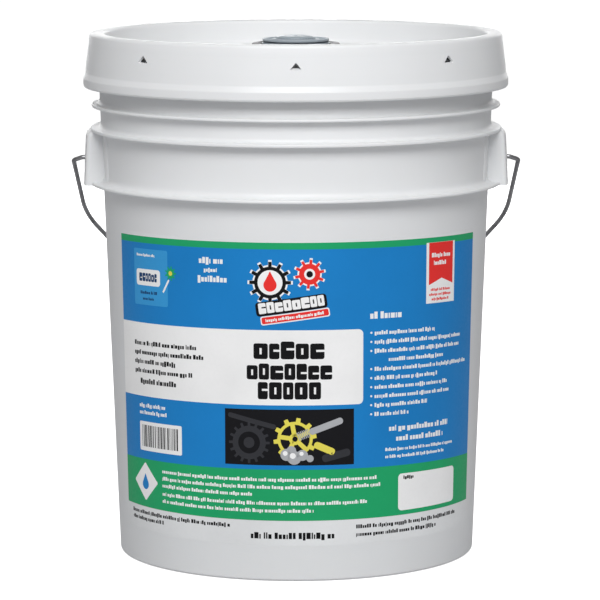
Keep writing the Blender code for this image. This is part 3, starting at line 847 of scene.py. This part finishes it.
def cap_bm():
    side_r = 14.0
    corners = [
        (0.0, CAP_TOP_Z - 0.3, 0.0),
        (8.6, CAP_TOP_Z - 0.3, 0.4),
        (9.2, CAP_TOP_Z, 0.4),
        (11.0, CAP_TOP_Z, 1.5),
        (13.6, CAP_TOP_Z - 1.0, 0.5),
        (side_r, CAP_DECK_TOP_Z, 0.5),
        (24.2, CAP_DECK_TOP_Z, 0.5),
        (25.0, CAP_DECK_TOP_Z - 0.4, 0.4),
        (25.0, CAP_DECK_TOP_Z - 1.5, 0.4),
        (side_r + 0.3, CAP_DECK_TOP_Z - 1.5, 0.6),
        (side_r + 0.3, 370.0, 0.4),
        (12.6, 370.0, 0.4),
        (12.6, CAP_ROOF_Z, 0.6),
        (0.0, CAP_ROOF_Z, 0.0),
    ]
    bm = lathe(rounded(corners, closed=False, steps=4), SPOUT_STEPS, closed=False)
    for i in range(36):
        rib = tube([Vector((13.95, 0.0, CAP_DECK_TOP_Z)), Vector((13.55, 0.0, CAP_TOP_Z - 1.4))], 0.42, 8)
        turn(rib, 10.0 * i + 5.0, "Z")
        merge(bm, rib)
    for side in (-1, 1):
        merge(bm, rounded_box((side * 19.0, 0.0, 377.8), (9.6, 0.8, 3.2), 0.25))
    low_z = CAP_TOP_Z - 0.5
    high_z = CAP_TOP_Z - 0.05
    gate = [(0.0, low_z, 0.0), (1.5, low_z, 0.0), (1.1, high_z, 0.2), (0.0, high_z, 0.0)]
    gate = lathe(rounded(gate, closed=False), 24, closed=False)
    merge(bm, gate)
    return bm


def rounded_box(centre, size, bevel):
    bm = bmesh.new()
    matrix = Matrix.Translation(Vector(centre) * MM) @ Matrix.Diagonal((*(Vector(size) * MM), 1.0))
    bmesh.ops.create_cube(bm, size=1.0, matrix=matrix)
    bmesh.ops.bevel(bm, geom=bm.edges[:], offset=bevel * MM, segments=3, profile=0.5, affect="EDGES")
    return bm


def build_cap(material):
    cap = add_piece("cap_moulded", cap_bm(), material)
    place(cap, "cap", "cap_grey", "spout_cap")
    low_z, high_z = PULL_EAR_LOW_Z, PULL_EAR_HIGH_Z
    corners = [
        (15.2, low_z, 0.4),
        (24.5, low_z, 0.4),
        (24.5, high_z, 0.4),
        (22.9, high_z, 0.4),
        (22.4, high_z - 0.7, 0.3),
        (17.2, high_z - 0.7, 0.3),
        (16.7, high_z, 0.4),
        (15.2, high_z, 0.4),
    ]
    outline = rounded(corners, steps=3)
    for name, start, side in (("front", -180.0, -1), ("rear", 0.0, 1)):
        bm = lathe(outline, 48, start_deg=start + 3.6, sweep_deg=180.0 - 7.2)
        for i in range(7):
            angle = math.radians(side * 90.0 + (i - 3) * 7.0)
            direction = Vector((math.cos(angle), math.sin(angle), 0.0))
            ends = [direction * r + Vector((0.0, 0.0, high_z - 0.65)) for r in (17.6, 22.0)]
            merge(bm, tube(ends, 0.42, 8))
        ear = add_piece("pull_ear_" + name + "_moulded", bm, material)
        place(ear, "pull_ear_" + name, "cap_grey", "pull_ear_" + name)


# ---------------------------------------------------------------- label print

# How far a level line of the print dips at the left edge, by height: the film was laid slightly bowed
BOW = ((26.0, 0.3), (44.0, 0.6), (80.0, 3.0), (180.0, 3.2), (246.0, 2.1))


def bow(z):
    for (z0, b0), (z1, b1) in zip(BOW, BOW[1:]):
        if z <= z1:
            return b0 + (b1 - b0) * (z - z0) / (z1 - z0)
    return BOW[-1][1]


def wrapped(u, z, lift):
    """The place on the pail of a flat label point, lift mm off the wall."""
    angle = u / wall_r(z)
    r = wall_r(z) + lift
    return Vector((r * math.sin(angle), -r * math.cos(angle), z)) * MM


def rect(u0, z0, u1, z1):
    return [(u0, z0), (u1, z0), (u1, z1), (u0, z1)]


def round_rect(u0, z0, u1, z1, radius, steps=4):
    corners = [(u0, z0, radius), (u1, z0, radius), (u1, z1, radius), (u0, z1, radius)]
    return rounded(corners, steps=steps)


def disc(u, z, radius, count=28):
    step = 2 * math.pi / count
    return [(u + radius * math.cos(step * i), z + radius * math.sin(step * i)) for i in range(count)]


def gear(u, z, inner, outer, teeth, turn_deg=0.0):
    points = []
    for i in range(teeth):
        middle = math.radians(turn_deg) + 2 * math.pi * i / teeth
        half = math.pi / teeth
        for offset, r in ((-0.80, inner), (-0.42, inner), (-0.30, outer), (0.30, outer), (0.42, inner)):
            angle = middle + half * offset
            points.append((u + r * math.cos(angle), z + r * math.sin(angle)))
    return points


def drop(u, z, radius):
    """A liquid drop, point up, whose round part is centred on (u, z)."""
    points = []
    for i in range(25):
        angle = math.radians(-220.0 + 260.0 * i / 24)
        points.append((u + radius * math.cos(angle), z + radius * math.sin(angle)))
    points.append((u, z + 2.1 * radius))
    return points


def tilted(points, degrees, centre):
    cos, sin = math.cos(math.radians(degrees)), math.sin(math.radians(degrees))
    cu, cz = centre
    return [(cu + (u - cu) * cos - (z - cz) * sin, cz + (u - cu) * sin + (z - cz) * cos) for u, z in points]


class Label:
    """Collects flat printed shapes by ink, then makes one piece of thin closed patches for each ink."""

    def __init__(self, seed):
        self.inks = {}
        self.random = random.Random(seed)

    def put(self, ink, layer, points):
        self.inks.setdefault(ink, []).append((layer, points))

    def line(self, ink, layer, u0, u1, z, height, tilt=0.0):
        """A greeked line of text: words made of plain blocks, centred on height z."""
        pick = self.random
        base = z - height / 2
        u = u0
        while u < u1 - height * 0.3:
            for _ in range(pick.randint(2, 9)):
                width = height * pick.choice((0.22, 0.42, 0.50, 0.50, 0.66))
                if u + width > u1:
                    u = u1
                    break
                low = base - (0.22 * height if pick.random() < 0.1 else 0.0)
                high = base + height * (1.0 if pick.random() < 0.28 else 0.72)
                block = rect(u, low, u + width, high)
                if tilt:
                    block = tilted(block, tilt, ((u0 + u1) / 2, z))
                self.put(ink, layer, block)
                u += width + height * 0.14
            u += height * 0.34

    def heading(self, ink, layer, u0, u1, z0, z1, count, slot_ink, tilt=0.0):
        """A row of heavy abstract blocks with slots, where the original carries large type."""
        pick = self.random
        centre = ((u0 + u1) / 2, (z0 + z1) / 2)
        gap = 0.07 * (z1 - z0)
        widths = [pick.uniform(0.8, 1.2) for _ in range(count)]
        unit = (u1 - u0 - gap * (count - 1)) / sum(widths)
        u = u0
        for width in widths:
            right = u + width * unit
            high = z1 if pick.random() < 0.7 else z0 + 0.88 * (z1 - z0)
            radius = 0.12 * (z1 - z0)
            self.put(ink, layer, tilted(round_rect(u, z0, right, high, radius), tilt, centre))
            middle = (z0 + high) / 2 + pick.uniform(-0.12, 0.12) * (high - z0)
            thick = 0.06 * (z1 - z0)
            if pick.random() < 0.5:
                slot = rect(u + 0.42 * (right - u), middle - thick, right, middle + thick)
            else:
                mid_u = (u + right) / 2
                slot = rect(mid_u - thick, z0 + 0.30 * (high - z0), mid_u + thick, high - 0.30 * (high - z0))
            self.put(slot_ink, layer + 1, tilted(slot, tilt, centre))
            u = right + gap

    def ink_bm(self, shapes):
        """bmesh of an ink's patches, wrapped on the cone."""
        bm = bmesh.new()
        lifts = bm.verts.layers.float.new("lift")

        def add(layer, points):
            lift = FILM_TOP + INK_STEP * layer
            verts = [bm.verts.new((u, z, 0.0)) for u, z in points]
            for vert in verts:
                vert[lifts] = lift
            bm.faces.new(verts)

        wide = [shape for shape in shapes if width_of(shape[1]) > WRAP_STEP]
        for layer, points in wide:
            add(layer, points)
        if wide:
            first = min(min(u for u, _ in points) for _, points in wide)
            last = max(max(u for u, _ in points) for _, points in wide)
            steps = int((last - first) / WRAP_STEP)
            for i in range(1, steps + 1):
                slice_bm(bm, first + WRAP_STEP * i, (1.0, 0.0, 0.0))
            for z in range(int(LABEL_LOW), int(LABEL_HIGH), 20):
                slice_bm(bm, z + 0.5, (0.0, 1.0, 0.0))
        for layer, points in shapes:
            if width_of(points) <= WRAP_STEP:
                add(layer, points)
        tops = bm.faces[:]
        made = bmesh.ops.extrude_face_region(bm, geom=tops, use_keep_orig=True)["geom"]
        for vert in (item for item in made if isinstance(item, bmesh.types.BMVert)):
            vert[lifts] -= INK_THICKNESS
        for vert in bm.verts:
            u, z = vert.co.x, vert.co.y
            vert.co = wrapped(u, z - bow(z) * (u / LABEL_LEFT) ** 2, vert[lifts])
        bmesh.ops.recalc_face_normals(bm, faces=bm.faces)
        return bm

    def build(self, materials):
        for ink, shapes in sorted(self.inks.items()):
            patches = add_piece("print_" + ink, self.ink_bm(shapes), materials[ink], 60.0)
            place(patches, "pail", "label_print")


def width_of(points):
    across = [u for u, _ in points]
    return max(across) - min(across)


def slice_bm(bm, where, axis):
    """Cuts every face along one plane of the flat layout, without removing anything."""
    normal = Vector(axis)
    bmesh.ops.bisect_plane(
        bm,
        geom=bm.verts[:] + bm.edges[:] + bm.faces[:],
        dist=1e-5,
        plane_co=normal * where,
        plane_no=normal,
    )


def film_bm():
    """The film itself: one closed sheet with rounded corners, wrapped on the wall."""
    bm = bmesh.new()
    corners = round_rect(LABEL_LEFT, LABEL_LOW, LABEL_RIGHT, LABEL_HIGH, 3.0)
    bm.faces.new([bm.verts.new((u, z, 0.0)) for u, z in corners])
    steps = int((LABEL_RIGHT - LABEL_LEFT) / WRAP_STEP)
    for i in range(1, steps + 1):
        slice_bm(bm, LABEL_LEFT + WRAP_STEP * i, (1.0, 0.0, 0.0))
    slice_bm(bm, LABEL_LOW + 4.0, (0.0, 1.0, 0.0))
    for z in range(int(LABEL_LOW) + 20, int(LABEL_HIGH), 20):
        slice_bm(bm, z, (0.0, 1.0, 0.0))
    tops = bm.faces[:]
    made = bmesh.ops.extrude_face_region(bm, geom=tops, use_keep_orig=True)["geom"]
    under = {item for item in made if isinstance(item, bmesh.types.BMVert)}
    for vert in bm.verts:
        lift = FILM_LIFT if vert in under else FILM_TOP
        if vert.co.y < LABEL_LOW + 3.9:
            lift -= FILM_TOP
        vert.co = wrapped(vert.co.x, vert.co.y, lift)
    bmesh.ops.recalc_face_normals(bm, faces=bm.faces)
    return bm


def print_fields(label):
    left, right = LABEL_LEFT, LABEL_RIGHT
    label.put("blue", 1, rect(left, 44.4, right, 244.9))
    label.put("green", 2, rect(left, 240.2, right, 244.9))
    label.put("green", 2, rect(left, 44.4, right, 81.7))
    panel = [(left, 128.3, 0.0), (48.4, 128.3, 3.5), (48.4, 182.4, 3.5), (left, 182.4, 0.0)]
    label.put("white", 2, rounded(panel))
    label.put("white", 3, round_rect(77.0, 47.7, 136.5, 75.3, 3.0))
    label.line("black", 4, 81.5, 91.5, 72.4, 2.4)


def print_card(label):
    """The small card at the upper left."""
    label.put("card", 2, round_rect(-137.5, 195.5, -100.0, 236.0, 1.5))
    label.line("white", 3, -134.0, -112.0, 231.6, 1.9)
    label.put("white", 3, round_rect(-134.5, 209.6, -107.5, 221.4, 2.2))
    label.heading("navy", 4, -131.0, -111.0, 212.6, 218.6, 6, "white")
    label.line("navy", 3, -129.8, -110.0, 204.6, 2.2)
    label.line("navy", 3, -127.0, -113.0, 200.2, 2.0)
    label.put("green", 3, gear(-97.2, 220.0, 3.6, 5.2, 9))
    label.put("yellow", 4, disc(-97.2, 220.0, 1.7))
    label.put("white", 3, tilted(rect(-102.4, 205.0, -100.9, 216.0), -32.0, (-101.6, 210.5)))


def print_emblem(label):
    """Two plain meshing gears, a drop and a tilted bar of blocks."""
    big, small = (-18.5, 216.5), (9.5, 222.5)
    label.put("white", 2, gear(*big, 12.6, 16.2, 12))
    label.put("black", 3, gear(*big, 11.4, 14.9, 12))
    label.put("white", 4, disc(*big, 8.9))
    label.put("red", 5, drop(big[0], big[1] - 1.8, 4.7))
    label.put("white", 2, gear(*small, 8.6, 11.6, 10, 12.0))
    label.put("red", 3, gear(*small, 7.5, 10.4, 10, 12.0))
    label.put("white", 4, disc(*small, 3.9))
    label.put("black", 5, disc(*small, 2.3))
    middle = (-3.5, 200.3)
    label.put("black", 4, tilted(round_rect(-29.0, 195.2, 22.0, 205.4, 2.4), 8.0, middle))
    label.heading("white", 5, -27.0, 20.0, 196.9, 204.6, 8, "black", 8.0)
    tag = (-1.0, 192.2)
    label.put("white", 2, tilted(round_rect(-25.5, 188.9, 24.0, 195.3, 1.6), 8.0, tag))
    label.put("red", 3, tilted(round_rect(-24.7, 189.7, 23.2, 194.5, 1.2), 8.0, tag))
    label.line("white", 4, -22.0, 21.0, tag[1], 2.2, 8.0)


def print_banner(label):
    """The card with a swallow-tailed ribbon at the upper right."""
    label.put("white", 3, rect(101.5, 197.6, 132.6, 241.3))
    ribbon = [(104.0, 241.2), (104.0, 210.8), (117.4, 215.4), (130.4, 210.8), (130.4, 241.2)]
    label.put("red", 4, ribbon)
    label.line("white", 5, 106.8, 128.0, 232.2, 3.1)
    label.line("white", 5, 109.0, 124.6, 226.6, 3.1)
    for i, (u0, u1) in enumerate(((106.0, 128.0), (104.5, 129.5), (107.0, 127.0))):
        label.line("red", 4, u0, u1, 207.4 - 3.4 * i, 1.9)


def print_top_texts(label):
    label.line("white", 2, -72.0, -53.0, 231.2, 4.4)
    label.line("white", 2, -68.0, -56.0, 224.4, 2.8)
    label.line("white", 2, -73.0, -50.0, 218.0, 4.4)


def print_list(label):
    """The heading, the bulleted list and the notes at the right."""
    label.line("white", 2, 53.7, 83.0, 192.0, 5.0)
    ends = (111.0, 143.5, 142.5, 121.5, 151.5, 115.0, 125.5, 128.5, 104.5, 87.0)
    for i, end in enumerate(ends):
        z = 179.4 - 6.55 * i
        indented = i == 3
        if not indented:
            label.put("white", 2, disc(54.6, z, 0.8, 10))
        label.line("white", 2, 68.5 if indented else 57.2, end, z, 2.9)
    label.line("white", 2, 69.0, 129.0, 109.4, 4.0)
    label.line("white", 2, 75.0, 123.0, 101.8, 4.0)
    label.line("white", 2, 66.0, 134.0, 94.0, 2.3)
    label.line("white", 2, 66.0, 123.5, 88.8, 2.3)


def print_panel(label):
    """The white panel's paragraph and its three heavy rows."""
    for i, end in enumerate((-74.5, -68.0, -92.0, -78.0)):
        label.line("black", 3, -139.0, end, 167.6 - 6.75 * i, 3.3)
    label.line("black", 3, -132.0, -90.5, 139.6, 3.9)
    label.heading("black", 3, -30.5, 20.0, 161.6, 174.4, 5, "white")
    label.heading("black", 3, -35.5, 25.5, 146.8, 158.4, 7, "white")
    label.heading("black", 3, -27.5, 17.5, 132.6, 145.0, 5, "white")


def print_picture(label):
    """A dark picture of a wheel in a wash basin with a brush and foam."""
    u0, z0, u1, z1 = -52.0, 84.8, 41.5, 125.2
    label.put("dark", 3, rect(u0, z0, u1, z1))
    label.put("shadow", 4, gear(-34.0, 101.0, 12.2, 15.0, 16))
    label.put("dark", 5, disc(-34.0, 101.0, 8.0))
    label.put("shadow", 6, disc(-34.0, 101.0, 4.0))
    label.put("shadow", 4, tilted(round_rect(18.0, 89.0, 39.0, 94.5, 2.4), 14.0, (28.5, 91.8)))
    label.put("shadow", 4, tilted(round_rect(-50.0, 115.0, -14.0, 118.5, 1.5), -14.0, (-32.0, 117.0)))
    wheel = (-1.0, 104.0)
    label.put("yellow", 4, gear(*wheel, 12.6, 15.4, 10, 8.0))
    label.put("dark", 5, disc(*wheel, 10.4))
    for i in range(5):
        spoke = rect(wheel[0] - 1.6, wheel[1], wheel[0] + 1.6, wheel[1] + 11.0)
        label.put("yellow", 6, tilted(spoke, 72.0 * i + 10.0, wheel))
    label.put("yellow", 6, disc(*wheel, 4.3))
    label.put("dark", 7, disc(*wheel, 1.9))
    label.put("yellow", 4, tilted(round_rect(12.0, 94.5, 28.0, 99.5, 2.3), -24.0, (20.0, 97.0)))
    label.put("grey", 8, tilted(round_rect(8.5, 110.6, 34.0, 115.4, 2.2), 20.0, (21.0, 113.0)))
    for i in range(7):
        label.put("grey", 8, tilted(rect(0.5 + 1.3 * i, 104.4, 1.2 + 1.3 * i, 110.6), 20.0, (6.0, 108.0)))
    for u, z, r in ((-7.0, 92.6, 4.4), (-1.6, 90.4, 5.0), (4.2, 92.2, 4.0), (-3.6, 95.6, 3.4), (9.6, 89.8, 2.6)):
        label.put("grey", 9, disc(u, z, r))
    for u, z, r in ((-8.0, 93.6, 1.7), (-2.6, 91.8, 2.1), (3.6, 93.4, 1.5)):
        label.put("white", 10, disc(u, z, r))


def print_lower_left(label):
    """Two short lines, a card of plain bars and a plain diamond with a drop."""
    label.line("white", 2, -134.0, -103.5, 121.6, 2.9)
    label.line("white", 2, -134.0, -101.5, 116.4, 2.9)
    label.put("white", 3, round_rect(-134.2, 88.0, -88.2, 109.6, 1.2))
    u = -131.0
    while u < -92.5:
        bar = label.random.choice((0.45, 0.45, 0.9, 1.35))
        label.put("black", 4, rect(u, 91.0, u + bar, 107.0))
        u += bar + label.random.choice((0.45, 0.9, 0.9, 1.35))
    centre = (-128.0, 64.3)
    square = round_rect(centre[0] - 10.6, centre[1] - 10.6, centre[0] + 10.6, centre[1] + 10.6, 1.2)
    label.put("white", 3, tilted(square, 45.0, centre))
    label.put("blue", 4, drop(centre[0], centre[1] - 2.2, 4.0))


def print_band(label):
    """The greeked lines in the green band and below it."""
    for z, end in ((74.4, 59.0), (69.0, 62.0), (63.6, -30.5), (57.2, 52.5), (51.8, 12.5)):
        label.line("white", 3, -108.0, end, z, 2.7)
    label.line("black", 1, -148.0, -47.0, 40.0, 2.8)
    label.line("black", 1, -147.5, -107.0, 35.2, 2.8)
    label.line("black", 1, -33.0, 29.0, 33.4, 4.6)
    label.line("black", 1, 43.3, 139.7, 38.9, 2.8)
    label.line("black", 1, 43.3, 114.5, 33.2, 2.8)


def build_label(film_material, inks):
    film = add_piece("label_film", film_bm(), film_material, 60.0)
    place(film, "pail", "label_print", "label")
    label = Label(7)
    print_fields(label)
    print_card(label)
    print_emblem(label)
    print_banner(label)
    print_top_texts(label)
    print_list(label)
    print_panel(label)
    print_picture(label)
    print_lower_left(label)
    print_band(label)
    label.build(inks)


# ---------------------------------------------------------------- stage


def area_light(name, place_at, aim, size, power, colour=(1.0, 1.0, 1.0)):
    light = bpy.data.lights.new(name, "AREA")
    light.shape = "RECTANGLE"
    light.size, light.size_y = size
    light.energy = power
    light.color = colour
    lamp = bpy.data.objects.new(name, light)
    lamp.location = place_at
    lamp.rotation_euler = (Vector(aim) - Vector(place_at)).to_track_quat("-Z", "Y").to_euler()
    bpy.context.scene.collection.objects.link(lamp)


def seen_white(tree, lighting, seen):
    """Mix of a lighting shader with one that only the camera sees."""
    path = tree.nodes.new("ShaderNodeLightPath")
    mix = tree.nodes.new("ShaderNodeMixShader")
    tree.links.new(path.outputs["Is Camera Ray"], mix.inputs["Fac"])
    tree.links.new(lighting, mix.inputs[1])
    tree.links.new(seen, mix.inputs[2])
    return mix.outputs[0]


def build_world():
    world = bpy.data.worlds.new("studio")
    world.use_nodes = True
    bpy.context.scene.world = world
    tree = world.node_tree
    dim = tree.nodes["Background"]
    dim.inputs["Color"].default_value = (1.0, 1.0, 1.0, 1.0)
    dim.inputs["Strength"].default_value = 0.30
    white = tree.nodes.new("ShaderNodeBackground")
    white.inputs["Color"].default_value = (1.0, 1.0, 1.0, 1.0)
    white.inputs["Strength"].default_value = 1.0
    out = seen_white(tree, dim.outputs[0], white.outputs[0])
    tree.links.new(out, tree.nodes["World Output"].inputs["Surface"])


def build_floor():
    bm = bmesh.new()
    bmesh.ops.create_grid(bm, x_segments=2, y_segments=2, size=30.0)
    shade = Shade("floor_pale", (0.86, 0.86, 0.87), 0.7)
    cloud = shade.noise(3.0, 3.0)
    base = shade.mix(shade.ramp(cloud, 0.3, 0.7), (0.84, 0.84, 0.85), (0.88, 0.88, 0.88))
    shade.set("Base Color", base)
    glow = shade.node("ShaderNodeEmission", {"Color": (1.0, 1.0, 1.0, 1.0), "Strength": 0.80})
    dimmed = shade.node("ShaderNodeBsdfDiffuse", {"Color": (0.58, 0.58, 0.59, 1.0)})
    both = shade.node("ShaderNodeAddShader")
    shade.tree.links.new(shade.shader.outputs[0], both.inputs[0])
    shade.tree.links.new(glow.outputs[0], both.inputs[1])
    out = seen_white(shade.tree, dimmed.outputs[0], both.outputs[0])
    shade.tree.links.new(out, shade.tree.nodes["Material Output"].inputs["Surface"])
    floor = add_piece("floor", bm, shade.material)
    floor.location.z = -0.0004


def build_camera():
    camera = bpy.data.cameras.new("camera")
    camera.lens = 221.84
    camera.sensor_width = 36.0
    camera.shift_x = 0.0077
    camera.clip_end = 100.0
    holder = bpy.data.objects.new("camera", camera)
    holder.location = (0.0, -2.722, 0.557)
    holder.rotation_euler = (math.radians(82.22), math.radians(0.094), 0.0)
    bpy.context.scene.collection.objects.link(holder)
    bpy.context.scene.camera = holder


def build_stage():
    build_world()
    build_floor()
    build_camera()
    area_light("key", (0.0, -2.3, 2.1), (0.0, 0.0, 0.12), (2.2, 1.3), 66.0)
    area_light("top", (0.0, 0.0, 2.4), (0.0, 0.0, 0.3), (1.6, 1.6), 3.0)
    area_light("back", (0.0, 2.8, 0.7), (0.0, 0.0, 0.2), (2.4, 1.0), 26.0)
    bpy.context.scene.view_settings.view_transform = "Standard"


# ---------------------------------------------------------------- all


def main():
    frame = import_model()
    build_stage()
    pail_white = moulded_plastic("pail_white", (0.80, 0.81, 0.82), 0.40)
    lid_white = moulded_plastic("lid_white", (0.80, 0.81, 0.82), 0.38)
    grip_white = moulded_plastic("grip_white", (0.80, 0.80, 0.79), 0.42)
    natural = moulded_plastic("spout_natural", (0.52, 0.58, 0.63), 0.36, subsurface=0.3, dust=0.3)
    cap_grey = moulded_plastic("cap_grey", (0.34, 0.39, 0.43), 0.32, subsurface=0.05, dust=0.4)
    gasket = foam("gasket_foam")
    inks = {
        "blue": printed_film("ink_blue", (0.010, 0.222, 0.590)),
        "green": printed_film("ink_green", (0.014, 0.380, 0.142)),
        "red": printed_film("ink_red", (0.850, 0.034, 0.030)),
        "white": printed_film("ink_white", (0.930, 0.930, 0.930)),
        "card": printed_film("ink_card", (0.040, 0.330, 0.700)),
        "navy": printed_film("ink_navy", (0.010, 0.050, 0.150)),
        "black": printed_film("ink_black", (0.004, 0.004, 0.005)),
        "dark": printed_film("ink_dark", (0.006, 0.006, 0.008)),
        "shadow": printed_film("ink_shadow", (0.035, 0.036, 0.042)),
        "grey": printed_film("ink_grey", (0.420, 0.430, 0.450)),
        "yellow": printed_film("ink_yellow", (0.791, 0.700, 0.102)),
    }
    build_pail(pail_white)
    build_label(printed_film("film_white", (0.80, 0.81, 0.82)), inks)
    build_bail(drawn_wire("wire_steel"), grip_white)
    build_lid(lid_white)
    build_crimp_ring(tinplate("ring_steel"))
    build_bellows(natural)
    build_neck(natural)
    build_cap(cap_grey)
    for node in ("lid_gasket", "cap_liner"):
        mesh = frame["nodes"][node].data
        mesh.materials.clear()
        mesh.materials.append(gasket)


main()
